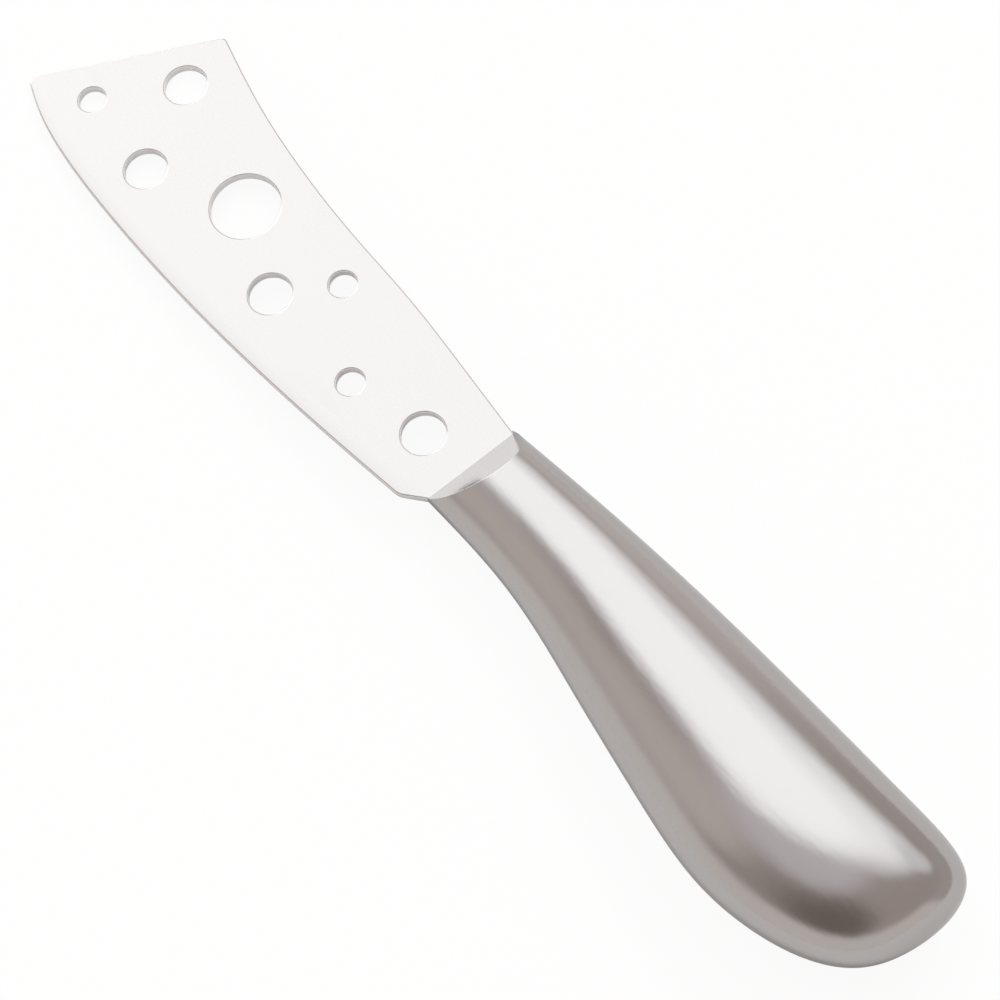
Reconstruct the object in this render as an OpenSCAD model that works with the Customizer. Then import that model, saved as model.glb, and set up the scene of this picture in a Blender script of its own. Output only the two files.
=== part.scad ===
// Cheese knife: a punched flat blade whose tang is cemented into a hollow handle of two pressed shells.
// Millimetres. Each piece is drawn along the knife: X from the tip to the butt, Y to the spine, Z across
// the blade, with zero where the blade enters the handle. Then the knife is laid on a table at Z = 0.

/* [Blade] */
// Length of the blade from its foremost corner to the front of the handle
blade_l = 102.8; // [85:1:125]
// Width of the blade from the spine corner to the belly of the cutting edge
blade_w = 32.6; // [27:0.5:39]
// Thickness of the blade
blade_t = 1.6; // [1:0.1:2]
// How far the spine corner lies behind the foremost corner
tip_back = 17.3; // [10:0.1:24]
// Radius of the foremost corner
tip_r = 1.5; // [0.5:0.1:3]
// Radius of the spine corner
spine_r = 0.8; // [0.3:0.1:2]
// Length of the slope that leads from the cutting edge back to the handle
heel_l = 4; // [2:0.5:7]
// Radius of the heel corner
heel_r = 3; // [1:0.5:5]

/* [Cutting edge] */
// Width of the ground band along the cutting edge
grind_w = 3; // [1:0.1:4]
// Thickness left at the cutting edge
edge_t = 1.2; // [0.6:0.05:1.5]

/* [Holes] */
// Diameter of the small holes
small_hole_d = 4.5; // [3:0.1:6]
// Diameter of the middle holes
middle_hole_d = 7; // [5:0.1:9]
// Diameter of the large hole
large_hole_d = 11.4; // [9:0.1:14]

/* [Tang] */
// How far the full width of the blade runs into the handle
neck_in = 2.5; // [1.5:0.1:4]
// Handle metal left outside each side of the blade at the front
neck_lip = 0.3; // [0.2:0.05:0.6]
// Width of the tang
tang_w = 9; // [6:0.5:11]
// Length of the tang inside the handle
tang_l = 27; // [18:1:40]
// Diameter of the two key holes in the tang
key_hole_d = 4; // [2:0.5:5]

/* [Handle] */
// Length of the handle along its middle
handle_l = 97.1; // [85:0.5:120]
// Width of the handle at its belly
handle_w = 29.7; // [25:0.1:36]
// Thickness of the handle at its belly
handle_t = 19.8; // [16:0.1:25]
// Wall of the pressed shells
shell_wall = 0.8; // [0.5:0.05:1.2]
// Slope of the front faces, measured from the blade
front_angle = 45; // [38:1:60]
// Turn of the front faces, seen from above
front_turn = 2.4; // [0:0.2:5]

/* [Cement] */
// How far the cement reaches past the end of the tang
cement_past = 4; // [2:0.5:8]

/* [Hidden] */

// Blade outline, ahead of the handle. The spine is held at even steps back from its corner.
spine_shares = [0.606, 0.482, 0.414, 0.374, 0.367, 0.32];
// The cutting edge as places: share of the length ahead of the handle, share of the width
edge_shares = [
    [1, -0.255], [0.962, -0.309], [0.894, -0.38], [0.739, -0.433], [0.486, -0.444], [0.233, -0.388]
];
heel_share = -0.32;
// Hole places: share of the length ahead of the handle, share of the width towards the spine
small_place_shares = [[0.892, -0.099], [0.362, 0.173], [0.2275, -0.1235]];
middle_place_shares = [[0.8075, 0.2925], [0.7325, -0.142], [0.426, -0.115], [0.088, -0.0385]];
large_place_share = [0.571, 0.09];
// Key holes along the tang
key_place_shares = [0.45, 0.8];

// Handle, at even turns from the front to the butt: half width, sideways bow, half thickness
// and how far the crown of the section lies towards the spine
width_shares = [0.565, 0.62, 0.8, 0.925, 1.025, 0.97, 0.85, 0.59, 0];
bow_shares = [0.025, 0.065, 0.017, -0.028, -0.07, -0.038, 0.028, 0.094, 0.145];
thick_shares = [0.62, 0.66, 0.78, 0.92, 1.02, 0.99, 0.86, 0.57, 0];
crown_shares = [0.24, 0.2, 0.16, 0.15, 0.15, 0.15, 0.15, 0.15, 0.15];

// Steps along the handle, round half of it and along the blade's curves
rings = 44;
strips = 28;
blade_steps = 36;
corner_steps = 6;
// Turn over which the slope of the handle's surface is measured
probe = 0.2;
quarter = 90;
half_turn = 180;
// How far a cutter runs past what it cuts
overrun = blade_t;
round_fn = 72;

// Curves: a smooth line through a row of control values, t running from 0 to 1. It ends on its
// first and last values, or runs out level where flat is set.
function before(v) = 2 * v[0] - v[1];
function after(v, flat) = let (n = len(v) - 1) flat ? v[n - 1] : 2 * v[n] - v[n - 1];
function value(v, i, flat) = i < 0 ? before(v) : i >= len(v) ? after(v, flat) : v[i];
function blend(v, t, flat = false) =
    let (n = len(v) - 1, s = min(max(t, 0), 1) * n, i = min(floor(s), n - 1), f = s - i, g = 1 - f)
    (
        g * g * g * value(v, i - 1, flat)
        + (3 * f * f * f - 6 * f * f + 4) * value(v, i, flat)
        + (3 * g * g * g - 6 * g * g + 4) * value(v, i + 1, flat)
        + f * f * f * value(v, i + 2, flat)
    ) / 6;
function unit(v) = v / norm(v);
// Points of a round corner at b between the straight runs from a and to c
function corner(a, b, c, r) =
    let (
        u = unit(a - b),
        w = unit(c - b),
        middle = unit(u + w),
        half = acos(u * middle),
        centre = b + middle * r / sin(half),
        from = b + u * r / tan(half) - centre,
        to = b + w * r / tan(half) - centre
    )
    [
        for (k = [0 : corner_steps])
            let (f = k / corner_steps, s = unit(from * (1 - f) + to * f))
            centre + s * r
    ];

// Handle surface. turn runs from 0 at the front to a quarter at the butt, round from 0 at the spine
// side over the top to half a turn at the belly side.
function half_width(turn) = handle_w / 2 * blend(width_shares, turn / quarter);
function bow(turn) = handle_w * blend(bow_shares, turn / quarter, true);
function half_thick(turn) = handle_t / 2 * blend(thick_shares, turn / quarter);
function crown(turn) = blend(crown_shares, turn / quarter, true);
function place(turn, round) = [
    handle_l * sin(turn),
    bow(turn) + half_width(turn) * (cos(round) + crown(turn) * pow(sin(round), 2)),
    half_thick(turn) * sin(round)
];
function outward(turn, round) = unit(cross(
    place(turn, round + probe) - place(turn, round - probe),
    place(turn + probe, round) - place(turn - probe, round)
));
function skin(turn, round, inset) =
    place(turn, round) - (inset == 0 ? [0, 0, 0] : inset * outward(turn, round));
// The sloped front faces meet the blade's faces at X = 0
function front_x(p, inset) =
    (abs(p.z) - blade_t / 2) / tan(front_angle) + inset / sin(front_angle) + p.y * tan(front_turn);
function first_turn(round, inset, guess = 0, tries = 5) =
    tries == 0
    ? guess
    : let (p = skin(guess, round, inset), miss = front_x(p, inset) - p.x)
      first_turn(round, inset, guess + asin(miss / handle_l), tries - 1);
// One row of points from the spine side over the top to the belly side. Row 0 lies on the front face.
function row(i, inset, over = half_turn, steps = strips) = [
    for (j = [0 : steps])
        let (round = over * j / steps, first = first_turn(round, inset))
        skin(first + (quarter - first) * i / rings, round, inset)
];
function butt_point(inset) = [handle_l - inset, bow(quarter), 0];

// Blade outline
spine_y = [for (s = spine_shares) s * blade_w];
nose_bow = bow(0);
neck_spine = nose_bow + half_width(0) - neck_lip;
neck_belly = nose_bow - half_width(0) + neck_lip;
spine_l = blade_l - tip_back;
heel_point = [-heel_l, heel_share * blade_w];
edge_places = concat([for (s = edge_shares) [-s.x * blade_l, s.y * blade_w]], [heel_point]);
function spine_line(t) = [-spine_l * (1 - t), blend(concat(spine_y, neck_spine), t)];
function edge_line(t) = blend(edge_places, t);
tip_corner = edge_line(0);
spine_corner = spine_line(0);
spine_points = [for (k = [0 : blade_steps]) spine_line(k / blade_steps)];
edge_points = [for (k = [blade_steps : -1 : 0]) edge_line(k / blade_steps)];
neck_corner = [0, neck_belly];
tang_spine = nose_bow + tang_w / 2;
tang_belly = nose_bow - tang_w / 2;
// Corner radii replace the first points of the curves that they touch
function past(points, corner_point, r) = [for (p = points) if (norm(p - corner_point) > 2 * r) p];
spine_run = past(spine_points, spine_corner, spine_r);
edge_run = past(past(edge_points, tip_corner, tip_r), heel_point, heel_r);
// Round the blade from the front of the handle by the cutting edge and the tip, and back by the spine
blade_outline = concat(
    [neck_corner],
    corner(neck_corner, heel_point, edge_run[0], heel_r),
    edge_run,
    corner(edge_run[len(edge_run) - 1], tip_corner, spine_corner, tip_r),
    corner(tip_corner, spine_corner, spine_run[0], spine_r),
    spine_run
);

// Resting place: the straight tip lies on the table and so does the lowest point of the handle
tip_run = unit(spine_corner - tip_corner);
tip_square = [tip_run.y, -tip_run.x];
function reach(p) = ([p.x, p.y] - tip_corner) * tip_square;
handle_points = [for (i = [0 : rings - 1]) each row(i, 0)];
lift = max([for (p = handle_points) atan((p.z - blade_t / 2) / reach(p))]);
lean_x = [tip_square.x * tip_square.x, tip_square.x * tip_square.y] * (cos(lift) - 1);
lean_y = [tip_square.x * tip_square.y, tip_square.y * tip_square.y] * (cos(lift) - 1);
lean = [
    [1 + lean_x.x, lean_x.y, -tip_square.x * sin(lift)],
    [lean_y.x, 1 + lean_y.y, -tip_square.y * sin(lift)],
    [tip_square.x * sin(lift), tip_square.y * sin(lift), cos(lift)]
];
tip_low = [tip_corner.x, tip_corner.y, -blade_t / 2];
function laid(p) = lean * (p - tip_low);
laid_points = concat(
    [for (p = handle_points, side = [-1, 1]) laid([p.x, p.y, side * p.z])],
    [for (p = blade_outline, side = [-1, 1]) laid([p.x, p.y, side * blade_t / 2])],
    [laid(butt_point(0))]
);
laid_x = [for (p = laid_points) p.x];
laid_y = [for (p = laid_points) p.y];
centre_x = (min(laid_x) + max(laid_x)) / 2;
centre_y = (min(laid_y) + max(laid_y)) / 2;

module on_table() {
    translate([-centre_x, -centre_y, 0])
        multmatrix([for (r = lean) [r.x, r.y, r.z, -r * tip_low]])
            children();
}

// Faces between two rows of n + 1 points that start at a and at b
function band(a, b, n) = [for (j = [0 : n - 1]) each [[a + j, b + j + 1, a + j + 1], [a + j, b + j, b + j + 1]]];
function turned(faces) = [for (f = faces) [for (k = [len(f) - 1 : -1 : 0]) f[k]]];

// Half of the handle as one pressed shell, its rim on the middle plane
module shell_form() {
    n = strips + 1;
    pole = rings * n;
    inner = pole + 1;
    function skin_faces(s) = concat(
        [for (i = [0 : rings - 2]) each band(s + i * n, s + (i + 1) * n, strips)],
        [for (j = [0 : strips - 1]) [s + pole - n + j, s + pole, s + pole - n + j + 1]],
        [[for (j = [0 : strips]) s + j]]
    );
    function rim(j) = concat(
        [for (i = [0 : rings - 2]) [i * n + j, (i + 1) * n + j, inner + (i + 1) * n + j, inner + i * n + j]],
        [[pole - n + j, pole, inner + pole, inner + pole - n + j]]
    );
    polyhedron(
        points = concat(
            [for (i = [0 : rings - 1]) each row(i, 0)], [butt_point(0)],
            [for (i = [0 : rings - 1]) each row(i, shell_wall)], [butt_point(shell_wall)]
        ),
        faces = concat(
            skin_faces(0),
            turned(skin_faces(inner)),
            turned(rim(0)),
            rim(strips),
            [[0, strips, inner + strips, inner]]
        )
    );
}

module blade_plate() {
    linear_extrude(blade_t, center = true)
        polygon(concat(
            [[neck_in, neck_spine], [neck_in, tang_spine], [tang_l, tang_spine]],
            [[tang_l, tang_belly], [neck_in, tang_belly], [neck_in, neck_belly]],
            blade_outline
        ));
}

module hole(place, d) {
    translate([-place.x * blade_l, place.y * blade_w, 0])
        cylinder(h = blade_t + 2 * overrun, d = d, center = true, $fn = round_fn);
}

module key_holes() {
    for (s = key_place_shares)
        translate([s * tang_l, nose_bow, 0])
            cylinder(h = blade_t + 2 * overrun, d = key_hole_d, center = true, $fn = round_fn);
}

// What the grinding wheel takes off one face, as a run of four-sided sections along the cutting edge
module grind_cut() {
    slope = (blade_t - edge_t) / 2 / grind_w;
    section = [
        [grind_w + overrun, blade_t / 2 + overrun * slope],
        [-overrun, edge_t / 2 - overrun * slope],
        [-overrun, blade_t / 2 + overrun],
        [grind_w + overrun, blade_t / 2 + overrun]
    ];
    function along(k) = unit(edge_line(min(k + 1, blade_steps) / blade_steps)
        - edge_line(max(k - 1, 0) / blade_steps));
    function cutter_point(k, s) = let (
        a = along(k),
        run = k == 0 ? -tip_r : k == blade_steps ? heel_l : 0,
        p = edge_line(k / blade_steps) + a * run + [-a.y, a.x] * s.x
    ) [p.x, p.y, s.y];
    polyhedron(
        points = [for (k = [0 : blade_steps], s = section) cutter_point(k, s)],
        faces = concat(
            [[3, 2, 1, 0]],
            [
                for (k = [0 : blade_steps - 1], j = [0 : 3])
                    let (m = (j + 1) % 4)
                    each [[4 * k + j, 4 * k + m, 4 * k + 4 + m], [4 * k + j, 4 * k + 4 + m, 4 * k + 4 + j]]
            ],
            [[for (j = [0 : 3]) 4 * blade_steps + j]]
        )
    );
}

module blade() {
    color("gainsboro")
        on_table()
            difference() {
                blade_plate();
                for (s = small_place_shares)
                    hole(s, small_hole_d);
                for (s = middle_place_shares)
                    hole(s, middle_hole_d);
                hole(large_place_share, large_hole_d);
                key_holes();
                grind_cut();
                mirror([0, 0, 1])
                    grind_cut();
            }
}

module upper_shell() {
    color("silver")
        on_table()
            difference() {
                shell_form();
                blade_plate();
            }
}

module lower_shell() {
    color("darkgray")
        on_table()
            difference() {
                mirror([0, 0, 1])
                    shell_form();
                blade_plate();
            }
}

// Resin in the front of the handle, as rows of points that lie on the inner skin of both shells
module cement_form() {
    around = 2 * strips;
    last = round(rings / quarter * asin((tang_l + cement_past) / handle_l));
    ends = [for (i = [0 : last]) row(i, shell_wall, 2 * half_turn, around)];
    polyhedron(
        points = concat(
            [for (r = ends, j = [0 : around - 1]) r[j]],
            [[ends[last][0].x, nose_bow, 0]]
        ),
        faces = concat(
            [[for (j = [0 : strips]) j]],
            [concat([for (j = [strips : around - 1]) j], [0])],
            [
                for (i = [0 : last - 1], j = [0 : around - 1])
                    let (m = (j + 1) % around, a = i * around, b = a + around)
                    each [[a + j, b + m, a + m], [a + j, b + j, b + m]]
            ],
            [
                for (j = [0 : around - 1])
                    let (a = last * around)
                    [a + around, a + (j + 1) % around, a + j]
            ]
        )
    );
}

// The cement goes round the tang and through its key holes
module tang_cement() {
    color("burlywood")
        on_table()
            difference() {
                cement_form();
                difference() {
                    blade_plate();
                    key_holes();
                }
            }
}

blade();
upper_shell();
lower_shell();
tang_cement();
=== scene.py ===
"""Cheese knife: a punched satin blade and a hollow handle of two pressed shells.

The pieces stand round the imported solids, in the same frame and at the same sizes.
"""

import itertools
import math

import bpy
import numpy as np
from bpy.props import FloatProperty, FloatVectorProperty, IntProperty, PointerProperty
from mathutils import Matrix, Vector
from mathutils.geometry import delaunay_2d_cdt
from mathutils.kdtree import KDTree


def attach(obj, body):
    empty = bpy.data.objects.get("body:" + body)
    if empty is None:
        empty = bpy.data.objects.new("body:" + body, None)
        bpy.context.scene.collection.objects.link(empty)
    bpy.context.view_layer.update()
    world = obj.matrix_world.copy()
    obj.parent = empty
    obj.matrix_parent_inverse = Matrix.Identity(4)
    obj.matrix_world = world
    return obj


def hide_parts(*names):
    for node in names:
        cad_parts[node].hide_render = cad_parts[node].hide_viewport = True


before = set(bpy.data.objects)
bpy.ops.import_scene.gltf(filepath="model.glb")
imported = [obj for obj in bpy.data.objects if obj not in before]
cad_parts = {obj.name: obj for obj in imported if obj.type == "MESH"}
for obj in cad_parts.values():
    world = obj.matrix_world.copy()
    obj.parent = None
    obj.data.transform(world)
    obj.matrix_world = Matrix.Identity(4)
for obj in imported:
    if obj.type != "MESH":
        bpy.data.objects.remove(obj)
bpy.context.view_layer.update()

bl_info = {
    "name": "Cheese knife",
    "version": (1, 0, 0),
    "blender": (4, 5, 0),
    "location": "3D View > Sidebar > Cheese knife",
    "description": "Punched blade, hollow handle of two pressed shells and a small photo stage",
    "category": "Object",
}

# Shares that shape the blade and the handle, the same as in the part's source
SPINE_SHARES = [0.606, 0.482, 0.414, 0.374, 0.367, 0.32]
EDGE_SHARES = [
    (1, -0.255), (0.962, -0.309), (0.894, -0.38),
    (0.739, -0.433), (0.486, -0.444), (0.233, -0.388),
]
HEEL_SHARE = -0.32
SMALL_PLACE_SHARES = [(0.892, -0.099), (0.362, 0.173), (0.2275, -0.1235)]
MIDDLE_PLACE_SHARES = [(0.8075, 0.2925), (0.7325, -0.142), (0.426, -0.115), (0.088, -0.0385)]
LARGE_PLACE_SHARE = (0.571, 0.09)
KEY_PLACE_SHARES = [0.45, 0.8]
WIDTH_SHARES = [0.565, 0.62, 0.8, 0.925, 1.025, 0.97, 0.85, 0.59, 0]
BOW_SHARES = [0.025, 0.065, 0.017, -0.028, -0.07, -0.038, 0.028, 0.094, 0.145]
THICK_SHARES = [0.62, 0.66, 0.78, 0.92, 1.02, 0.99, 0.86, 0.57, 0]
CROWN_SHARES = [0.24, 0.2, 0.16, 0.15, 0.15, 0.15, 0.15, 0.15, 0.15]

# How the knife leans on the table, and the low tip corner that it leans from
LEAN = np.array([
    [0.998481, 0.000936289, -0.0550909],
    [0.000936289, 0.999423, 0.0339551],
    [0.0550909, -0.0339551, 0.997904],
])
TIP_LOW = np.array([-0.1028, -0.008313, -0.0008])
TABLE_CENTRE = np.array([0.100081, 0.00995993, 0])

QUARTER = math.pi / 2


# ---- Settings ----


def length(name, description, default):
    """A size in metres."""
    return FloatProperty(
        name=name, description=description, default=default, min=0, precision=5, unit="LENGTH"
    )


def share(name, description, default, top=1.0):
    """A plain share or level."""
    return FloatProperty(name=name, description=description, default=default, min=0, max=top)


def colour(name, description, default):
    """A colour, in linear values."""
    return FloatVectorProperty(
        name=name, description=description, default=default,
        size=3, min=0, max=1, subtype="COLOR",
    )


class BladeSettings(bpy.types.PropertyGroup):
    """Sizes of the punched blade and its tang."""

    blade_l: length("Length", "From the foremost corner to the front of the handle", 0.1028)
    blade_w: length("Width", "From the spine corner to the belly of the cutting edge", 0.0326)
    blade_t: length("Thickness", "Thickness of the plate", 0.0016)
    tip_back: length(
        "Tip slant", "How far the spine corner lies behind the foremost corner", 0.0173
    )
    tip_r: length("Tip radius", "Radius of the foremost corner", 0.0015)
    spine_r: length("Spine radius", "Radius of the spine corner", 0.0008)
    heel_l: length("Heel length", "Slope from the cutting edge back to the handle", 0.004)
    heel_r: length("Heel radius", "Radius of the heel corner", 0.003)
    grind_w: length("Ground band", "Width of the ground band along the cutting edge", 0.003)
    edge_t: length("Edge thickness", "Thickness left at the cutting edge", 0.0012)
    small_hole_d: length("Small holes", "Diameter of the small holes", 0.0045)
    middle_hole_d: length("Middle holes", "Diameter of the middle holes", 0.007)
    large_hole_d: length("Large hole", "Diameter of the large hole", 0.0114)
    rim_r: length("Rim radius", "Rounding of the rims of the plate and its holes", 0.0003)
    neck_in: length("Neck", "How far the full width runs into the handle", 0.0025)
    neck_lip: length("Lip", "Handle metal left outside each side of the blade", 0.0003)
    tang_w: length("Tang width", "Width of the tang", 0.009)
    tang_l: length("Tang length", "Length of the tang inside the handle", 0.027)
    key_hole_d: length("Key holes", "Diameter of the key holes in the tang", 0.004)


class HandleSettings(bpy.types.PropertyGroup):
    """Sizes of the hollow handle."""

    handle_l: length("Length", "Length of the handle along its middle", 0.0971)
    handle_w: length("Width", "Width at the belly", 0.0297)
    handle_t: length("Thickness", "Thickness at the belly", 0.0198)
    shell_wall: length("Wall", "Wall of the pressed shells", 0.0008)
    front_angle: FloatProperty(
        name="Front slope", description="Slope of the front faces from the blade",
        default=math.radians(45), subtype="ANGLE",
    )
    front_turn: FloatProperty(
        name="Front turn", description="Turn of the front faces, seen from above",
        default=math.radians(2.4), subtype="ANGLE",
    )
    front_r: length("Front rounding", "Run of the rounding round the front faces", 0.00005)
    rings: IntProperty(name="Rings", description="Steps along the handle", default=150, min=20)
    strips: IntProperty(
        name="Strips", description="Steps round half of the handle", default=84, min=12
    )


class FinishSettings(bpy.types.PropertyGroup):
    """Colours and finishes."""

    blade_steel: colour("Blade steel", "Satin steel of the blade", (0.485, 0.476, 0.472))
    handle_steel: colour("Handle steel", "Satin steel of the handle", (0.435, 0.427, 0.424))
    blade_rough: share("Blade roughness", "Roughness of the blade", 0.28)
    handle_rough: share("Handle roughness", "Roughness of the handle", 0.15)
    cut_rough: share("Cut roughness", "How much rougher the punched faces are", 0.2)
    cement: colour("Cement", "Resin round the tang", (0.62, 0.5, 0.34))


class StageSettings(bpy.types.PropertyGroup):
    """Floor, light and camera."""

    floor: colour("Floor", "Pale floor", (0.68, 0.68, 0.68))
    floor_r: length("Floor radius", "Radius of the floor", 6.0)
    walls: colour("Walls", "White surroundings up to a third of the way up", (0.975, 0.895, 0.86))
    ceiling: colour("Ceiling", "Warm grey above the white walls", (0.613, 0.524, 0.494))
    softbox: share("Softbox", "Level of the softboxes", 2.06, 10)
    key: share("Key lamp", "Level of the lamp that gives the shadow", 1.7, 10)
    lens: FloatProperty(
        name="Focal length", description="Focal length of the camera in millimetres",
        default=97.6, min=1,
    )


# ---- Curves ----


def blend(values, t, level=False):
    """A smooth line led by a row of values, t from 0 to 1. It ends level where level is set."""
    row = [2 * values[0] - values[1], *values, values[-2] if level else 2 * values[-1] - values[-2]]
    v = np.array(row, float)
    n = len(values) - 1
    s = np.clip(t, 0, 1) * n
    i = np.minimum(np.floor(s).astype(int), n - 1)
    f = s - i
    g = 1 - f
    inner = (3 * f**3 - 6 * f**2 + 4) * v[i + 1] + (3 * g**3 - 6 * g**2 + 4) * v[i + 2]
    return (g**3 * v[i] + inner + f**3 * v[i + 3]) / 6


def unit(v):
    """The same directions at a length of 1."""
    return v / np.linalg.norm(v, axis=-1, keepdims=True)


def corner(a, b, c, r, steps=10):
    """Points of a round corner at b between the straight runs from a and to c."""
    u, w = unit(a - b), unit(c - b)
    middle = unit(u + w)
    half = math.acos(u @ middle)
    centre = b + middle * r / math.sin(half)
    start, end = b + u * r / math.tan(half) - centre, b + w * r / math.tan(half) - centre
    return [centre + unit(start * (1 - f) + end * f) * r for f in np.linspace(0, 1, steps + 1)]


def turns_left(loop):
    """Whether a flat loop runs against the clock."""
    return sum(a.cross(b) for a, b in zip(loop, loop[1:] + loop[:1])) > 0


# ---- Meshes ----

# A face corner takes the smooth normal within this angle of its face
FLAT_LIMIT = math.cos(math.radians(35))
# Points closer than this are the same
SAME_PLACE = 1e-7
FILL_MERGE = 1e-9
# Asks the triangulation for triangles inside the loops only
FILL_INSIDE = 1


def laid(points):
    """Points drawn along the knife, as they stand in the row frame."""
    return (np.array(points) - TIP_LOW) @ LEAN.T - TABLE_CENTRE


class Form:
    """Points with the normals that their smooth surface has there, and faces between them."""

    def __init__(self):
        self.points, self.normals, self.faces = [], [], []

    def row(self, points, normals):
        """Adds points and returns their numbers."""
        start = len(self.points)
        self.points += [np.asarray(p, float) for p in points]
        self.normals += [np.asarray(n, float) for n in normals]
        return list(range(start, len(self.points)))

    def strip(self, a, b, closed=False):
        """Four-sided faces between two rows."""
        n = len(a)
        for k in range(n if closed else n - 1):
            m = (k + 1) % n
            self.faces.append((a[k], a[m], b[m], b[k]))

    def fan(self, row, tip, closed=False):
        """Triangles between a row and one point."""
        n = len(row)
        for k in range(n if closed else n - 1):
            self.faces.append((row[k], row[(k + 1) % n], tip))

    def fill(self, loops, extra, u, v):
        """Triangles over the flat inside the first loop and outside the rest, facing u x v.

        extra are the numbers of further points that the triangles take in.
        """
        used = [i for loop in loops for i in loop] + list(extra)
        flat = [Vector((float(self.points[i] @ u), float(self.points[i] @ v))) for i in used]
        at, start = [], 0
        for loop in loops:
            at.append(list(range(start, start + len(loop))))
            start += len(loop)
        edges = [(loop[k], loop[(k + 1) % len(loop)]) for loop in at for k in range(len(loop))]
        left = [loop if turns_left([flat[k] for k in loop]) else loop[::-1] for loop in at]
        _, _, faces, origin, _, face_from = delaunay_2d_cdt(
            flat, edges, left, FILL_INSIDE, FILL_MERGE, True
        )
        for face, source in zip(faces, face_from):
            if source == [0]:
                self.faces.append(tuple(used[origin[k][0]] for k in face))

    def mirrored(self):
        """The same form on the other side of the middle plane."""
        flip = np.array([1, 1, -1])
        other = Form()
        other.points = [p * flip for p in self.points]
        other.normals = [n * flip for n in self.normals]
        other.faces = [tuple(reversed(f)) for f in self.faces]
        return other

    def add(self, other, joined=None):
        """Takes in another form; joined maps its points to points that are here already."""
        joined = joined or {}
        place = {}
        for i, (p, n) in enumerate(zip(other.points, other.normals)):
            if i in joined:
                place[i] = joined[i]
            else:
                place[i] = len(self.points)
                self.points.append(p)
                self.normals.append(n)
        self.faces += [tuple(place[i] for i in f) for f in other.faces]

    def mesh(self, name):
        """The form as a mesh in the row frame, without its normals."""
        made = bpy.data.meshes.new(name)
        made.from_pydata(laid(self.points).tolist(), [], self.faces)
        made.update()
        return made


def set_normals(mesh, form):
    """Gives each face corner the normal of the form's point there, where its face agrees."""
    tree = KDTree(len(form.points))
    for i, p in enumerate(laid(form.points)):
        tree.insert(p, i)
    tree.balance()
    normals = np.array(form.normals) @ LEAN.T
    places = []
    for v in mesh.vertices:
        _, i, miss = tree.find(v.co)
        places.append(normals[i] if miss < SAME_PLACE else None)
    corners = []
    for face in mesh.polygons:
        face.use_smooth = True
        flat = np.array(face.normal)
        for i in face.vertices:
            smooth = places[i]
            keep = smooth is not None and float(smooth @ flat) > FLAT_LIMIT
            corners.append(tuple(smooth if keep else flat))
    mesh.normals_split_custom_set(corners)


def finish_piece(mesh, name, node, material):
    """Makes the object, in the place of a node, and ties it to the frame."""
    piece = bpy.data.objects.new(name, mesh)
    bpy.context.scene.collection.objects.link(piece)
    mesh.materials.append(material)
    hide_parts(node)
    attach(piece, "root")


# ---- Blade ----

# How softly the ground band leaves the flat: 1 for a straight wedge
GRIND_CURVE = 2.0
# Points over the flat: their step, the share of it between rows, and their room to the rims
FLAT_STEP = 0.003
FLAT_ROW = 0.87
FLAT_ROOM = 0.0012
# Points over the ground band: rows and end in shares of its width, their number and room
BAND_ROWS = (0.2, 0.4, 0.6, 0.8, 1.0, 1.2)
BAND_END = 1.3
BAND_STEPS = 110
BAND_ROOM = 0.00035


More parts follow.
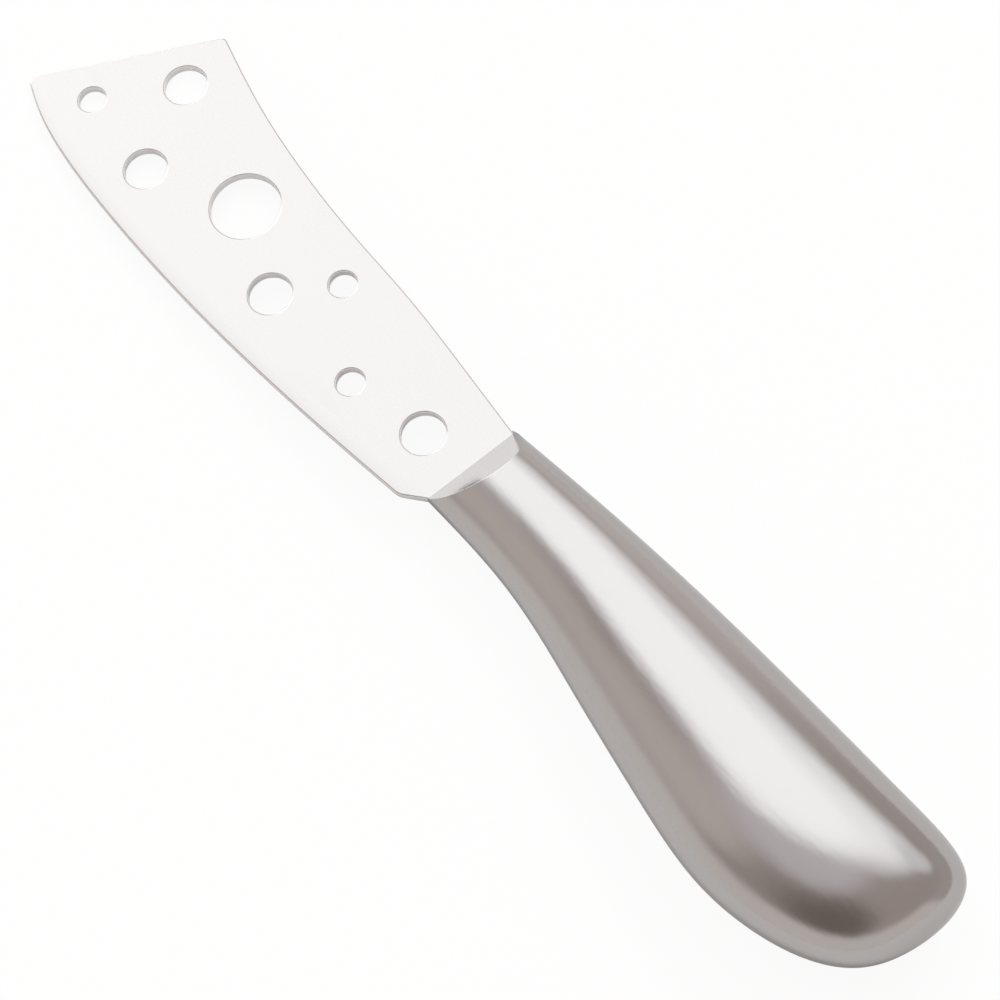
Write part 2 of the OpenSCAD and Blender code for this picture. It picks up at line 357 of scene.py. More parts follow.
class Plate:
    """Outline, holes and thickness of the blade with its tang."""

    edge_steps = 130
    spine_steps = 110
    grind_steps = 260
    hole_steps = 80
    rim_steps = 4
    probe = 2e-6

    def __init__(self, blade, handle):
        self.blade = blade
        l, w = blade.blade_l, blade.blade_w
        nose_bow = handle.handle_w * float(blend(BOW_SHARES, 0.0, True))
        half = handle.handle_w / 2 * float(blend(WIDTH_SHARES, 0.0)) - blade.neck_lip
        self.neck_spine, self.neck_belly, self.nose_bow = nose_bow + half, nose_bow - half, nose_bow
        self.edge_x = [-s[0] * l for s in EDGE_SHARES] + [-blade.heel_l]
        self.edge_y = [s[1] * w for s in EDGE_SHARES] + [HEEL_SHARE * w]
        self.spine_y = [s * w for s in SPINE_SHARES] + [self.neck_spine]
        fine = self.edge_line(np.linspace(0, 1, self.grind_steps))
        first, last = unit(fine[0] - fine[1]), unit(fine[-1] - fine[-2])
        self.grind_line = np.vstack([
            fine[0] + first * 2 * blade.tip_r, fine, fine[-1] + last * blade.heel_l,
        ])

    def edge_line(self, t):
        """Points of the cutting edge, from the tip to the heel."""
        return np.stack([blend(self.edge_x, t), blend(self.edge_y, t)], -1)

    def spine_line(self, t):
        """Points of the spine, from the tip to the handle."""
        back = self.blade.blade_l - self.blade.tip_back
        return np.stack([-back * (1 - t), blend(self.spine_y, t)], -1)

    def outline(self):
        """Round the plate by the heel, the cutting edge, the tip, the spine and the tang."""
        b = self.blade
        edge = self.edge_line(np.linspace(1, 0, self.edge_steps))
        spine = self.spine_line(np.linspace(0, 1, self.spine_steps))
        heel, tip, top = edge[0], edge[-1], spine[0]
        neck = np.array([0, self.neck_belly])
        spine_run = [p for p in spine if np.linalg.norm(p - top) > 2 * b.spine_r]
        edge_run = [
            p for p in edge
            if np.linalg.norm(p - tip) > 2 * b.tip_r and np.linalg.norm(p - heel) > 2 * b.heel_r
        ]
        half = b.tang_w / 2
        tang = [
            (b.neck_in, self.neck_spine), (b.neck_in, self.nose_bow + half),
            (b.tang_l, self.nose_bow + half), (b.tang_l, self.nose_bow - half),
            (b.neck_in, self.nose_bow - half), (b.neck_in, self.neck_belly),
        ]
        run = [neck, *corner(neck, heel, edge_run[0], b.heel_r), *edge_run]
        run += corner(edge_run[-1], tip, top, b.tip_r) + corner(tip, top, spine_run[0], b.spine_r)
        return np.array(run + spine_run + tang)

    def holes(self):
        """Place and diameter of each hole, the key holes in the tang last."""
        b = self.blade
        groups = [
            (SMALL_PLACE_SHARES, b.small_hole_d), (MIDDLE_PLACE_SHARES, b.middle_hole_d),
            ([LARGE_PLACE_SHARE], b.large_hole_d),
        ]
        found = [
            ((-s[0] * b.blade_l, s[1] * b.blade_w), d) for shares, d in groups for s in shares
        ]
        return found + [((s * b.tang_l, self.nose_bow), b.key_hole_d) for s in KEY_PLACE_SHARES]

    def edge_distance(self, p):
        """Distance of points from the line of the cutting edge."""
        a, b = self.grind_line[:-1], self.grind_line[1:]
        run = b - a
        f = np.clip(((p[:, None] - a) * run).sum(-1) / (run**2).sum(-1), 0, 1)
        return np.linalg.norm(p[:, None] - a - f[..., None] * run, axis=-1).min(1)

    def height(self, p):
        """Height of the plate's upper face over its middle plane."""
        b = self.blade
        near = np.clip(1 - self.edge_distance(p) / b.grind_w, 0, 1)
        return b.blade_t / 2 - (b.blade_t - b.edge_t) / 2 * near**GRIND_CURVE

    def upward(self, p):
        """Normal of the plate's upper face."""
        e = self.probe
        slope = [(self.height(p + d) - self.height(p - d)) / (2 * e) for d in np.eye(2) * e]
        return unit(np.stack([-slope[0], -slope[1], np.ones(len(p))], -1))


def side_normals(loop):
    """Outward normals of a clockwise loop, and how far each point moves for an inset of 1."""
    run = unit(np.roll(loop, -1, 0) - loop)
    left = np.stack([-run[:, 1], run[:, 0]], -1)
    normal = unit(left + np.roll(left, 1, 0))
    return normal, 1 / (normal * left).sum(-1)


def plate_rim(form, plate, loop):
    """Rounded upper rim and wall of a loop. Returns its rows on the upper face and halfway down."""
    r = plate.blade.rim_r
    normal, reach = side_normals(loop)
    inner = loop - normal * reach[:, None] * r
    top, up = plate.height(inner), plate.upward(inner)
    out = np.concatenate([normal, np.zeros((len(loop), 1))], 1)
    rows = []
    for k in range(plate.rim_steps, -1, -1):
        a = QUARTER * k / plate.rim_steps
        spot = loop - normal * (reach * r * (1 - math.cos(a)))[:, None]
        z = top - r * (1 - math.sin(a))
        points = np.column_stack([spot, z])
        rows.append(form.row(points, unit(out * math.cos(a) + up * math.sin(a))))
    rows.append(form.row(np.column_stack([loop, np.zeros(len(loop))]), out))
    for a, b in zip(rows, rows[1:]):
        form.strip(a, b, closed=True)
    return rows[0], rows[-1]


def inside(points, loop):
    """Which points lie inside a loop."""
    a, b = loop, np.roll(loop, -1, 0)
    x, y = points[:, None, 0], points[:, None, 1]
    spans = (a[:, 1] > y) != (b[:, 1] > y)
    rise = np.where(b[:, 1] == a[:, 1], 1, b[:, 1] - a[:, 1])
    cross = a[:, 0] + (y - a[:, 1]) / rise * (b[:, 0] - a[:, 0])
    return (spans & (x < cross)).sum(1) % 2 == 1


def face_spots(plate, loops):
    """Points over the upper face inside the first loop and outside the rest."""
    outline, band = loops[0], plate.blade.grind_w
    low, high = outline.min(0), outline.max(0)
    grid = np.array([
        (x + (k % 2) * FLAT_STEP / 2, y)
        for k, y in enumerate(np.arange(low[1], high[1], FLAT_STEP * FLAT_ROW))
        for x in np.arange(low[0], high[0], FLAT_STEP)
    ])
    grid = grid[plate.edge_distance(grid) > band * BAND_END]
    line = plate.edge_line(np.linspace(0, 1, BAND_STEPS))
    away = side_normals(line[::-1])[0][::-1]
    rows = [line[1:-1] - away[1:-1] * band * share_in for share_in in BAND_ROWS]
    spots = np.concatenate([*rows, grid])
    spots = spots[inside(spots, outline)]
    room = np.min([np.linalg.norm(spots[:, None] - loop, axis=-1).min(1) for loop in loops], 0)
    on_metal = np.all([~inside(spots, loop) for loop in loops[1:]], 0)
    on_band = plate.edge_distance(spots) < band * BAND_END
    return spots[on_metal & (room > np.where(on_band, BAND_ROOM, FLAT_ROOM))]


def build_blade(context):
    """The punched plate with its ground band, rounded rims and tang."""
    plate = Plate(context.scene.knife_blade, context.scene.knife_handle)
    turn = np.linspace(0, 2 * math.pi, plate.hole_steps, endpoint=False)
    circle = np.stack([np.cos(turn), np.sin(turn)], -1)
    loops = [plate.outline()] + [np.array(place) + circle * d / 2 for place, d in plate.holes()]

    # The upper half, and its twin below on the same middle points
    half = Form()
    rims = [plate_rim(half, plate, loop) for loop in loops]
    spots = face_spots(plate, loops)
    extra = half.row(np.column_stack([spots, plate.height(spots)]), plate.upward(spots))
    half.fill([top for top, _ in rims], extra, np.array([1, 0, 0]), np.array([0, 1, 0]))
    whole = Form()
    whole.add(half)
    whole.add(half.mirrored(), {i: i for _, middle in rims for i in middle})
    mesh = whole.mesh("blade_plate")
    set_normals(mesh, whole)

    # The rims and walls of the holes are as punched, the outline is smoother
    finish = context.scene.knife_finish
    steel = blade_steel(finish, "sheared", SHEARED)
    finish_piece(mesh, "punched_blade", "blade", steel)
    mesh.materials.append(blade_steel(finish, "punched", 1.0))
    middles = np.array([np.mean([whole.points[i][:2] for i in f], 0) for f in whole.faces])
    punched = [
        np.linalg.norm(middles - place, axis=1) < d / 2 + plate.blade.rim_r
        for place, d in plate.holes()
    ]
    mesh.polygons.foreach_set("material_index", np.any(punched, 0).astype(int))


# ---- Handle ----

# Steps along and round the inner skin, and across the rounding of the front edge
INNER_RINGS, INNER_STRIPS = 50, 36
FRONT_STEPS = 6


class Shell:
    """Surface of the upper half of the handle.

    turn runs from the front to a quarter turn at the butt, spot from the spine side over the top.
    """

    probe = math.radians(0.2)
    tries = 8

    def __init__(self, handle, blade_t):
        self.handle, self.blade_t = handle, blade_t

    def place(self, turn, spot):
        """Points of the outer surface."""
        h, t = self.handle, turn / QUARTER
        half, bow = h.handle_w / 2 * blend(WIDTH_SHARES, t), h.handle_w * blend(BOW_SHARES, t, True)
        thick, crown = h.handle_t / 2 * blend(THICK_SHARES, t), blend(CROWN_SHARES, t, True)
        side = bow + half * (np.cos(spot) + crown * np.sin(spot) ** 2)
        return np.stack([h.handle_l * np.sin(turn), side, thick * np.sin(spot)], -1)

    def outward(self, turn, spot):
        """Normals of the outer surface."""
        e = self.probe
        over = self.place(turn, spot + e) - self.place(turn, spot - e)
        along = self.place(turn + e, spot) - self.place(turn - e, spot)
        return unit(np.cross(over, along))

    def skin(self, turn, spot, inset):
        """Points at a depth below the outer surface."""
        return self.place(turn, spot) - inset * self.outward(turn, spot)

    def front_x(self, p, inset):
        """Where the sloped front face, or its inner side, lies at the width and height of p."""
        h = self.handle
        slope = (np.abs(p[..., 2]) - self.blade_t / 2) / math.tan(h.front_angle)
        return slope + inset / math.sin(h.front_angle) + p[..., 1] * math.tan(h.front_turn)

    def first_turn(self, spot, inset):
        """Turn at which each lengthwise line meets the sloped front face."""
        guess = np.zeros_like(spot)
        for _ in range(self.tries):
            p = self.skin(guess, spot, inset)
            guess = guess + np.arcsin((self.front_x(p, inset) - p[:, 0]) / self.handle.handle_l)
        return guess

    def front_normal(self):
        """Outward normal of the sloped front face."""
        h = self.handle
        s, c = math.sin(h.front_angle), math.cos(h.front_angle)
        return unit(np.array([-s, s * math.tan(h.front_turn), c]))


def shell_skin(form, shell, inset, rings, strips, run):
    """Rows of one skin from the front to the butt.

    run is left free behind the front for a rounding. Returns the rows, the butt point and the line
    on which the skin meets the front face.
    """
    spot = np.linspace(0, math.pi, strips + 1)
    first = shell.first_turn(spot, inset)
    front = shell.skin(first, spot, inset)
    start = first + run / shell.handle.handle_l
    facing = -1 if inset else 1
    rows = []
    for i in range(rings):
        turn = start + (QUARTER - start) * i / rings
        normals = shell.outward(turn, spot)
        normals[[0, -1], 2] = 0
        points = shell.skin(turn, spot, inset)
        points[[0, -1], 2] = 0
        rows.append(form.row(points, unit(normals) * facing))
    bow = shell.handle.handle_w * float(blend(BOW_SHARES, 1.0, True))
    butt = form.row([(shell.handle.handle_l - inset, bow, 0)], [(facing, 0, 0)])[0]
    for a, b in zip(rows, rows[1:]):
        form.strip(b, a) if inset else form.strip(a, b)
    form.fan(rows[-1][::-1] if inset else rows[-1], butt)
    return rows, butt, front


def shell_form(shell):
    """The upper shell, before the room for the blade's neck is cut in it."""
    handle = shell.handle
    form = Form()
    outer, butt, front = shell_skin(
        form, shell, 0.0, handle.rings, handle.strips, handle.front_r
    )
    inner, inner_butt, _ = shell_skin(
        form, shell, handle.shell_wall, INNER_RINGS, INNER_STRIPS, 0.0
    )

    # Rounding between the outer skin and the front face
    face = shell.front_normal()
    start = np.array([form.points[i] for i in outer[0]])
    skin_normal = np.array([form.normals[i] for i in outer[0]])
    inward = -unit(skin_normal - (skin_normal @ face)[:, None] * face)
    inward[[0, -1], 2] = 0
    end = front + unit(inward) * handle.front_r
    rows = [outer[0]]
    for k in range(1, FRONT_STEPS + 1):
        f = k / FRONT_STEPS
        points = start * (1 - f) ** 2 + front * 2 * f * (1 - f) + end * f**2
        points[[0, -1], 2] = 0
        rows.append(form.row(points, unit(skin_normal * (1 - f) + face * f)))
    for a, b in zip(rows, rows[1:]):
        form.strip(b, a)

    # Front faces, outside and inside, and the rim on the middle plane
    across = unit(np.cross(face, np.array([0, 0, 1.0])))
    up = np.cross(face, across)
    form.fill([rows[-1]], [], across, up)
    form.fill([inner[0]], [], up, across)
    outer_rim = [row[0] for row in rows[::-1]] + [row[0] for row in outer[1:]] + [butt]
    outer_rim += [row[-1] for row in outer[:0:-1]] + [row[-1] for row in rows]
    inner_rim = [row[0] for row in inner] + [inner_butt] + [row[-1] for row in inner[::-1]]
    form.fill([outer_rim, inner_rim], [], np.array([0, 1, 0]), np.array([1, 0, 0]))
    return form


def slotted(context, form, name, plate):
    """Mesh of the form, with the room for the blade's neck cut out of it."""
    body = bpy.data.objects.new(name + "_uncut", form.mesh(name))
    slot = bpy.data.objects.new(name + "_slot", slot_box(plate))
    for helper in (body, slot):
        context.scene.collection.objects.link(helper)
    cut = body.modifiers.new("slot", "BOOLEAN")
    cut.operation, cut.object, cut.solver = "DIFFERENCE", slot, "EXACT"
    context.view_layer.update()
    seen = body.evaluated_get(context.evaluated_depsgraph_get())
    mesh = bpy.data.meshes.new_from_object(seen)
    for helper in (body, slot):
        bpy.data.objects.remove(helper)
    mesh.name = name
    mesh.materials.clear()
    set_normals(mesh, form)
    return mesh


def build_shell(context, upper):
    """One pressed shell: outer skin, rounded front edge, sloped front wall, inner skin and rim."""
    handle, blade = context.scene.knife_handle, context.scene.knife_blade
    form = shell_form(Shell(handle, blade.blade_t))
    if not upper:
        form = form.mirrored()
    name = "upper_handle_shell" if upper else "lower_handle_shell"
    node = "upper_shell" if upper else "lower_shell"
    mesh = slotted(context, form, name, Plate(blade, handle))
    finish_piece(mesh, name, node, handle_steel(context.scene.knife_finish))


def slot_box(plate):
    """The room that the neck of the blade takes in the front of the shells."""
    b = plate.blade
    ahead = 3 * b.blade_t
    low = (-ahead, plate.neck_belly, -b.blade_t / 2)
    high = (b.neck_in, plate.neck_spine, b.blade_t / 2)
    points = list(itertools.product(*zip(low, high)))
    faces = [(0, 1, 3, 2), (4, 6, 7, 5), (0, 4, 5, 1), (2, 3, 7, 6), (0, 2, 6, 4), (1, 5, 7, 3)]
    mesh = bpy.data.meshes.new("slot")
    mesh.from_pydata(laid(points).tolist(), [], faces)
    return mesh


# ---- Materials ----

# Scales of noise along, across and over the knife
EVEN = (1, 1, 1)
BLADE_GRAIN = (160, 3600, 3600)
HANDLE_GRAIN = (420, 2600, 2600)
MARK_GRAIN = (60, 160, 160)
WAVE_GRAIN = (40, 110, 110)
# Satin steel: its clouds and specks, the noise levels of a handling mark, its darker tone
CLOUD_SCALE, SPECK_SCALE = 70.0, 5200.0
MARK_RANGE = (0.62, 0.8)
SHADE = 0.93
# How far the grain and the clouds sway its roughness, and how strongly its relief shows
GRAIN_SWAY, CLOUD_SWAY = 0.06, 0.05
RELIEF_SHARE = 0.25
# Reflectance left at a glancing angle, as a share of the plain curve
GLANCE = 0.88
# Punched faces: their paler, cooler tone, how flat they lie and how much less they mirror
CUT_TINT = (0.855, 0.872, 0.878)
CUT_LEVELS = (0.5, 0.95)
CUT_DULL = 0.7
# How far the sheared and tumbled outline of the blade has the finish of the punched faces
SHEARED = 0.6
# Resin: scales of its clouds and bubbles, edge of a bubble, darker tone, relief, roughness
RESIN_SCALE, BUBBLE_SCALE = 180.0, 900.0
BUBBLE_EDGE = 0.25
RESIN_SHADE = 0.7
RESIN_RELIEF = 5e-5
RESIN_ROUGH, RESIN_SWAY = 0.45, 0.2


class Flow:
    """A socket that takes part in expressions. Each operator on values adds its Math node."""

    def __init__(self, shader, socket):
        self.shader, self.socket = shader, socket

    def math(self, operation, *values):
        """Adds a Math node over values and sockets."""
        return self.shader.node("ShaderNodeMath", {"operation": operation}, dict(enumerate(values)))

    def __add__(self, other):
        return self.math("ADD", self, other)

    __radd__ = __add__

    def __sub__(self, other):
        return self.math("SUBTRACT", self, other)

    def __rsub__(self, other):
        return self.math("SUBTRACT", other, self)

    def __mul__(self, other):
        return self.math("MULTIPLY", self, other)

    __rmul__ = __mul__

    def clamped(self):
        """The value kept between 0 and 1."""
        return self.math("MINIMUM", self.math("MAXIMUM", self, 0), 1)


class Shader:
    """Node tree of a material or world."""

    def __init__(self, owner):
        owner.use_nodes = True
        self.tree = owner.node_tree
        self.tree.nodes.clear()

    def node(self, kind, settings=None, values=None, output=0):
        """Adds a node with its settings, and the values or links of its sockets.

        Returns the output asked for.
        """
        made = self.tree.nodes.new(kind)
        for name, value in (settings or {}).items():
            setattr(made, name, value)
        for name, value in (values or {}).items():
            if isinstance(value, Flow):
                self.tree.links.new(value.socket, made.inputs[name])
            else:
                made.inputs[name].default_value = value
        return Flow(self, made.outputs[output]) if made.outputs else None

    def mix(self, factor, a, b):
        """Mix of two colours."""
        return self.node("ShaderNodeMix", {"data_type": "RGBA"}, {0: factor, 6: a, 7: b}, 2)

    def noise(self, vector, scale, detail):
        """Smooth noise between 0 and 1."""
        return self.node(
            "ShaderNodeTexNoise", {}, {"Vector": vector, "Scale": scale, "Detail": detail}, "Fac"
        )

    def step(self, value, low, high):
        """Runs smoothly from 0 at low to 1 at high."""
        return self.node(
            "ShaderNodeMapRange", {"interpolation_type": "SMOOTHSTEP"},
            {"Value": value, "From Min": low, "From Max": high},
        )

    def stretched(self, scale):
        """Coordinates along the knife, each stretched by its own scale."""
        place = self.node("ShaderNodeTexCoord", output="Object")
        back = Matrix(LEAN.T.tolist()).to_euler("XYZ")
        along = self.node(
            "ShaderNodeVectorRotate", {"rotation_type": "EULER_XYZ"},
            {"Vector": place, "Rotation": back},
        )
        return self.node("ShaderNodeVectorMath", {"operation": "MULTIPLY"}, {0: along, 1: scale})

    def dot(self, a, b):
        """Dot product of two vectors."""
        return self.node(
            "ShaderNodeVectorMath", {"operation": "DOT_PRODUCT"}, {0: a, 1: b}, "Value"
        )


def solid(value):
    """A colour with full alpha."""
    return (*value, 1.0)


def satin_steel(name, base, rough, grain, depth, marks, wave=0.0, cut=0.0, cut_rough=0.0):
    """Stainless steel with a fine satin grain, slight clouds and a few faint handling marks.

    grain and depth are the scales and the height of the brushing, marks is the roughness that a
    handling mark adds, and wave the height of the slower unevenness left by polishing. cut, from
    0 to 1, is how far the faces turned away from the plate's flat have the finish left by the
    press tool, and cut_rough the roughness that it adds.
    """
    material = bpy.data.materials.new(name)
    s = Shader(material)
    even = s.stretched(EVEN)
    brush = s.noise(s.stretched(grain), 1.0, 3.0)
    cloud = s.noise(even, CLOUD_SCALE, 3.0)
    speck = s.noise(even, SPECK_SCALE, 1.0)
    smear = s.step(s.noise(s.stretched(MARK_GRAIN), 1.0, 4.0), *MARK_RANGE) * marks
    darker = tuple(c * SHADE for c in base)
    tone = s.mix((cloud * 0.5 + brush * 0.5).clamped(), solid(darker), solid(base))
    roughness = rough + (brush - 0.5) * GRAIN_SWAY + (cloud - 0.5) * CLOUD_SWAY + smear
    metal = 1.0
    if cut:
        facing = s.node("ShaderNodeNewGeometry", output="Normal")
        level = s.dot(facing, LEAN[:, 2].tolist())
        wall = (1 - s.step(level.math("ABSOLUTE", level), *CUT_LEVELS)) * cut
        tone = s.mix(wall, tone, solid(CUT_TINT))
        roughness = roughness + wall * cut_rough
        metal = 1 - wall * CUT_DULL
    relief = {"Strength": RELIEF_SHARE, "Distance": depth, "Height": brush * 0.6 + speck * 0.4}
    bump = s.node("ShaderNodeBump", {}, relief)
    if wave:
        slow = s.noise(s.stretched(WAVE_GRAIN), 1.0, 4.0)
        relief = {"Strength": 1.0, "Distance": wave, "Height": slow, "Normal": bump}
        bump = s.node("ShaderNodeBump", {}, relief)
    surface = s.node(
        "ShaderNodeBsdfPrincipled", {},
        {
            "Base Color": tone, "Metallic": metal, "Roughness": roughness, "Normal": bump,
            "Specular Tint": (GLANCE, GLANCE, GLANCE, 1),
        },
    )
    s.node("ShaderNodeOutputMaterial", {}, {"Surface": surface})
    return material


def blade_steel(finish, name, cut):
    """Satin steel of the blade, with its cut faces as far from the satin as cut says."""
    return satin_steel(
        name + "_blade_steel", finish.blade_steel, finish.blade_rough, BLADE_GRAIN,
        depth=2.5e-6, marks=0.04, cut=cut, cut_rough=finish.cut_rough,
    )


def handle_steel(finish):
    """Satin steel of the handle, the same for both shells."""
    found = bpy.data.materials.get("handle_satin_steel")
    return found or satin_steel(
        "handle_satin_steel", finish.handle_steel, finish.handle_rough, HANDLE_GRAIN,
        depth=4e-6, marks=0.08, wave=1e-4,
    )


def tang_resin(finish):
    """Cloudy cured resin with small bubbles."""
    material = bpy.data.materials.new("tang_resin")
    s = Shader(material)
    even = s.stretched(EVEN)
    cloud = s.noise(even, RESIN_SCALE, 4.0)
    bubbles = s.node(
        "ShaderNodeTexVoronoi", {"feature": "F1"}, {"Vector": even, "Scale": BUBBLE_SCALE}
    )
    pit = s.step(bubbles, 0.0, BUBBLE_EDGE)
    darker = tuple(c * RESIN_SHADE for c in finish.cement)
    tone = s.mix(cloud, solid(darker), solid(finish.cement))
    relief = {"Strength": 0.4, "Distance": RESIN_RELIEF, "Height": pit + cloud}
    bump = s.node("ShaderNodeBump", {}, relief)
    surface = s.node(
        "ShaderNodeBsdfPrincipled", {},
        {"Base Color": tone, "Roughness": RESIN_ROUGH + cloud * RESIN_SWAY, "Normal": bump},
    )
    s.node("ShaderNodeOutputMaterial", {}, {"Surface": surface})
    return material


# ---- Stage ----

# Elevations between which the white walls end
WALL_TOP = (20, 33)
# Patches of light and shade: azimuth, elevation, outer angle, inner angle and colour
WALL_PATCHES = [(-123, -15, 38, 30, (1.0, 0.945, 0.9)), (64, 21, 50, 38, (0.66, 0.59, 0.56))]
CEILING_PATCHES = [
    (-101, 45, 45, 37, (0.556, 0.477, 0.447)), (-127, 42, 21, 3, (0.88, 0.79, 0.74)),
    (-58, 41, 30, 1, (0.275, 0.228, 0.2)), (-129, 76, 27, 12, (0.95, 0.885, 0.9)),
]
# Softboxes: azimuth, elevation, outer angle, inner angle and share of their level
SOFTBOXES = [
    (117, 60, 36, 1, 0.9), (75, 44, 16, 1, 0.565), (180, 10, 30, 20, 1.8),
    (168, 46, 20, 12, 1.1), (158, 65, 27, 14, 1),
]
# Lamp for the matt surfaces alone: azimuth and elevation, and how wide it looks
KEY_LAMP = (115, 40)
KEY_WIDTH = 30
# The floor lies just under the knife
FLOOR_Z = -2e-5
FLOOR_STEPS = 96
# Share of plain white in the floor as the camera sees it, and as it is mirrored
FLOOR_SEEN, FLOOR_MIRRORED = 0.93, 0.05
# The photograph's camera: where it stands, and its right and up
CAMERA_PLACE = (0.13504025, -0.05456159, 0.38696916)
CAMERA_RIGHT = (0.64661660, 0.75522185, -0.10736440)
CAMERA_UP = (-0.69664725, 0.64198738, 0.32021089)
SENSOR_WIDTH = 36
CLIP_START, CLIP_END = 0.01, 50


def direction(azimuth, elevation):
    """Unit vector, azimuth counted from +X towards +Y."""
    a, e = math.radians(azimuth), math.radians(elevation)
    return (math.cos(a) * math.cos(e), math.sin(a) * math.cos(e), math.sin(e))


def build_world(stage):
    """White walls and a warmer ceiling, uneven as in a room, with the softboxes."""
    world = bpy.data.worlds.new("studio")
    s = Shader(world)
    ray = s.node("ShaderNodeTexCoord", output="Generated")

    def patched(base, patches):
        for azimuth, elevation, outer, inner, tone in patches:
            edge, core = math.cos(math.radians(outer)), math.cos(math.radians(inner))
            near = s.step(s.dot(ray, direction(azimuth, elevation)), edge, core)
            base = s.mix(near, base, solid(tone))
        return base

    height = s.dot(ray, direction(0, 90))
    above = s.step(height, *(math.sin(math.radians(e)) for e in WALL_TOP))
    walls = patched(solid(stage.walls), WALL_PATCHES)
    ceiling = patched(solid(stage.ceiling), CEILING_PATCHES)
    room = s.mix(above, walls, ceiling)
    lights = [(*box[:4], [box[4] * stage.softbox] * 3) for box in SOFTBOXES]
    light = s.node("ShaderNodeBackground", {}, {"Color": patched(room, lights)})
    white = s.node("ShaderNodeBackground", {}, {"Color": (1, 1, 1, 1)})
    seen = s.node("ShaderNodeLightPath", output="Is Camera Ray")
    both = s.node("ShaderNodeMixShader", {}, {0: seen, 1: light, 2: white})
    s.node("ShaderNodeOutputWorld", {}, {"Surface": both})
    bpy.context.scene.world = world


def build_key_lamp(stage):
    """A broad lamp that gives the knife its shadow. The steel shows the softboxes in its place."""
    data = bpy.data.lights.new("key_lamp", "SUN")
    data.energy = stage.key
    data.angle = math.radians(KEY_WIDTH)
    lamp = bpy.data.objects.new("key_lamp", data)
    bpy.context.scene.collection.objects.link(lamp)
    lamp.rotation_euler = Vector(direction(*KEY_LAMP)).to_track_quat("Z", "Y").to_euler()
    lamp.visible_glossy = False


def build_floor(stage):
    """A plain pale disc that keeps the shadow of the knife."""
    around = [k * 2 * math.pi / FLOOR_STEPS for k in range(FLOOR_STEPS)]
    ring = [(stage.floor_r * math.cos(a), stage.floor_r * math.sin(a), FLOOR_Z) for a in around]
    mesh = bpy.data.meshes.new("floor")
    mesh.from_pydata(ring, [], [tuple(range(FLOOR_STEPS))])
    floor = bpy.data.objects.new("floor", mesh)
    bpy.context.scene.collection.objects.link(floor)
    material = bpy.data.materials.new("pale_floor")
    s = Shader(material)
    paint = s.node("ShaderNodeBsdfDiffuse", {}, {"Color": solid(stage.floor)})
    glow = s.node("ShaderNodeEmission", {}, {"Color": (1, 1, 1, 1), "Strength": 1.0})
    path = s.node("ShaderNodeLightPath", output="Is Camera Ray")
    gloss = s.node("ShaderNodeLightPath", output="Is Glossy Ray")
    clear = s.node("ShaderNodeLightPath", output="Is Transmission Ray")
    seen = path * FLOOR_SEEN + (gloss + clear) * FLOOR_MIRRORED
    both = s.node("ShaderNodeMixShader", {}, {0: seen, 1: paint, 2: glow})
    s.node("ShaderNodeOutputMaterial", {}, {"Surface": both})
    mesh.materials.append(material)


def build_camera(stage):
    """The photograph's view."""
    data = bpy.data.cameras.new("photo_camera")
    camera = bpy.data.objects.new("photo_camera", data)
    bpy.context.scene.collection.objects.link(camera)
    right, up = Vector(CAMERA_RIGHT), Vector(CAMERA_UP)
    axes = Matrix((right, up, right.cross(up))).transposed().to_4x4()
    camera.matrix_world = Matrix.Translation(Vector(CAMERA_PLACE)) @ axes
    data.lens = stage.lens
    data.sensor_width = SENSOR_WIDTH
    data.clip_start, data.clip_end = CLIP_START, CLIP_END
    bpy.context.scene.camera = camera


# ---- Operators and panel ----


class KNIFE_OT_blade(bpy.types.Operator):
    """Build the punched blade"""

    bl_idname = "knife.blade"
    bl_label = "Blade"

    def execute(self, context):
        build_blade(context)
        return {"FINISHED"}


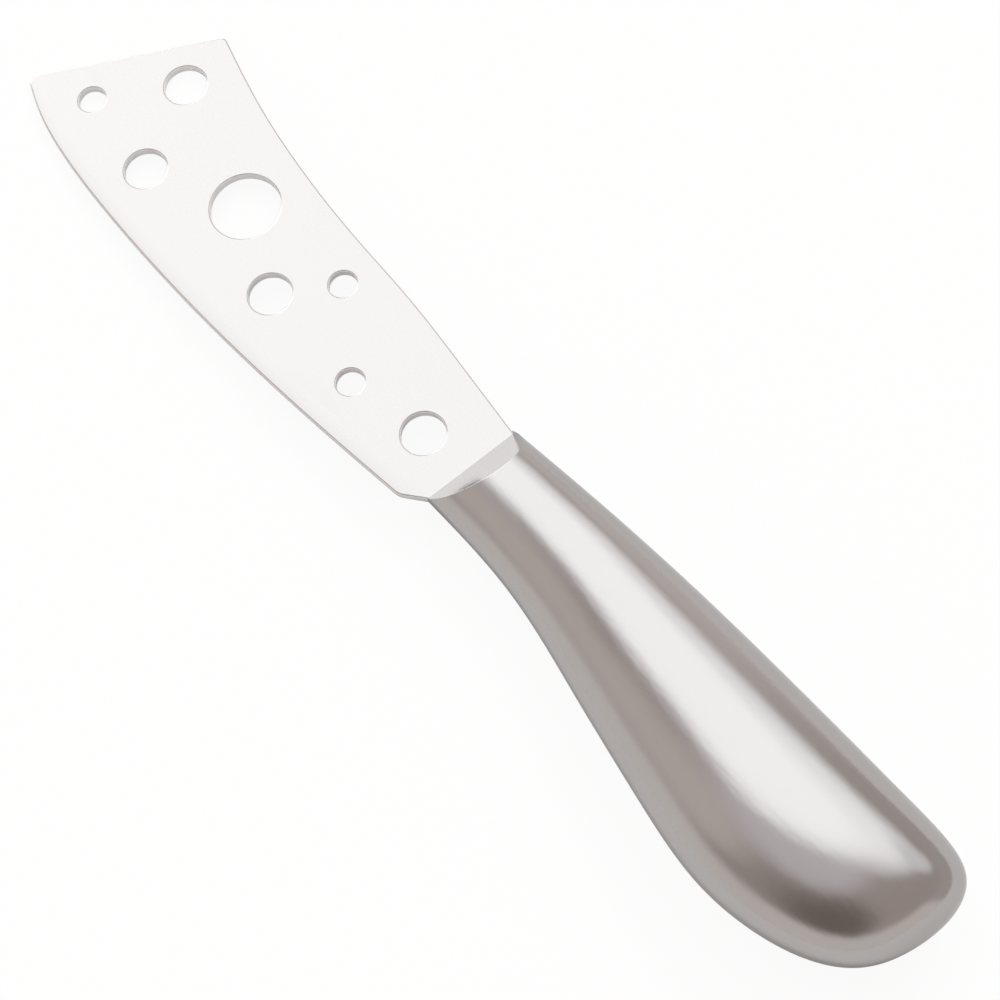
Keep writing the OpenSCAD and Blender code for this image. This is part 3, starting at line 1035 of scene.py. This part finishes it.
class KNIFE_OT_handle(bpy.types.Operator):
    """Build the two handle shells"""

    bl_idname = "knife.handle"
    bl_label = "Handle shells"

    def execute(self, context):
        for upper in (True, False):
            build_shell(context, upper)
        return {"FINISHED"}


class KNIFE_OT_cement(bpy.types.Operator):
    """Give the cement round the tang its material"""

    bl_idname = "knife.cement"
    bl_label = "Tang cement"

    def execute(self, context):
        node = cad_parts["tang_cement"]
        node.data.materials.clear()
        node.data.materials.append(tang_resin(context.scene.knife_finish))
        return {"FINISHED"}


class KNIFE_OT_stage(bpy.types.Operator):
    """Build the floor, the light and the camera"""

    bl_idname = "knife.stage"
    bl_label = "Stage"

    def execute(self, context):
        stage = context.scene.knife_stage
        build_world(stage)
        build_key_lamp(stage)
        build_floor(stage)
        build_camera(stage)
        context.scene.view_settings.view_transform = "Standard"
        return {"FINISHED"}


class KNIFE_PT_sidebar(bpy.types.Panel):
    """Sizes, finishes and steps of the cheese knife"""

    bl_idname = "KNIFE_PT_sidebar"
    bl_label = "Cheese knife"
    bl_space_type = "VIEW_3D"
    bl_region_type = "UI"
    bl_category = "Cheese knife"

    def draw(self, context):
        for group in ("knife_blade", "knife_handle", "knife_finish", "knife_stage"):
            box = self.layout.box()
            settings = getattr(context.scene, group)
            for name in settings.__annotations__:
                box.prop(settings, name)
        for step in OPERATORS:
            self.layout.operator(step.bl_idname)


GROUPS = {
    "knife_blade": BladeSettings,
    "knife_handle": HandleSettings,
    "knife_finish": FinishSettings,
    "knife_stage": StageSettings,
}
OPERATORS = (KNIFE_OT_blade, KNIFE_OT_handle, KNIFE_OT_cement, KNIFE_OT_stage)
CLASSES = (*GROUPS.values(), *OPERATORS, KNIFE_PT_sidebar)


def register():
    for cls in CLASSES:
        bpy.utils.register_class(cls)
    for name, group in GROUPS.items():
        setattr(bpy.types.Scene, name, PointerProperty(type=group))


def unregister():
    for name in GROUPS:
        delattr(bpy.types.Scene, name)
    for cls in reversed(CLASSES):
        bpy.utils.unregister_class(cls)


def main():
    register()
    bpy.ops.knife.blade()
    bpy.ops.knife.handle()
    bpy.ops.knife.cement()
    bpy.ops.knife.stage()


if __name__ == "__main__":
    main()
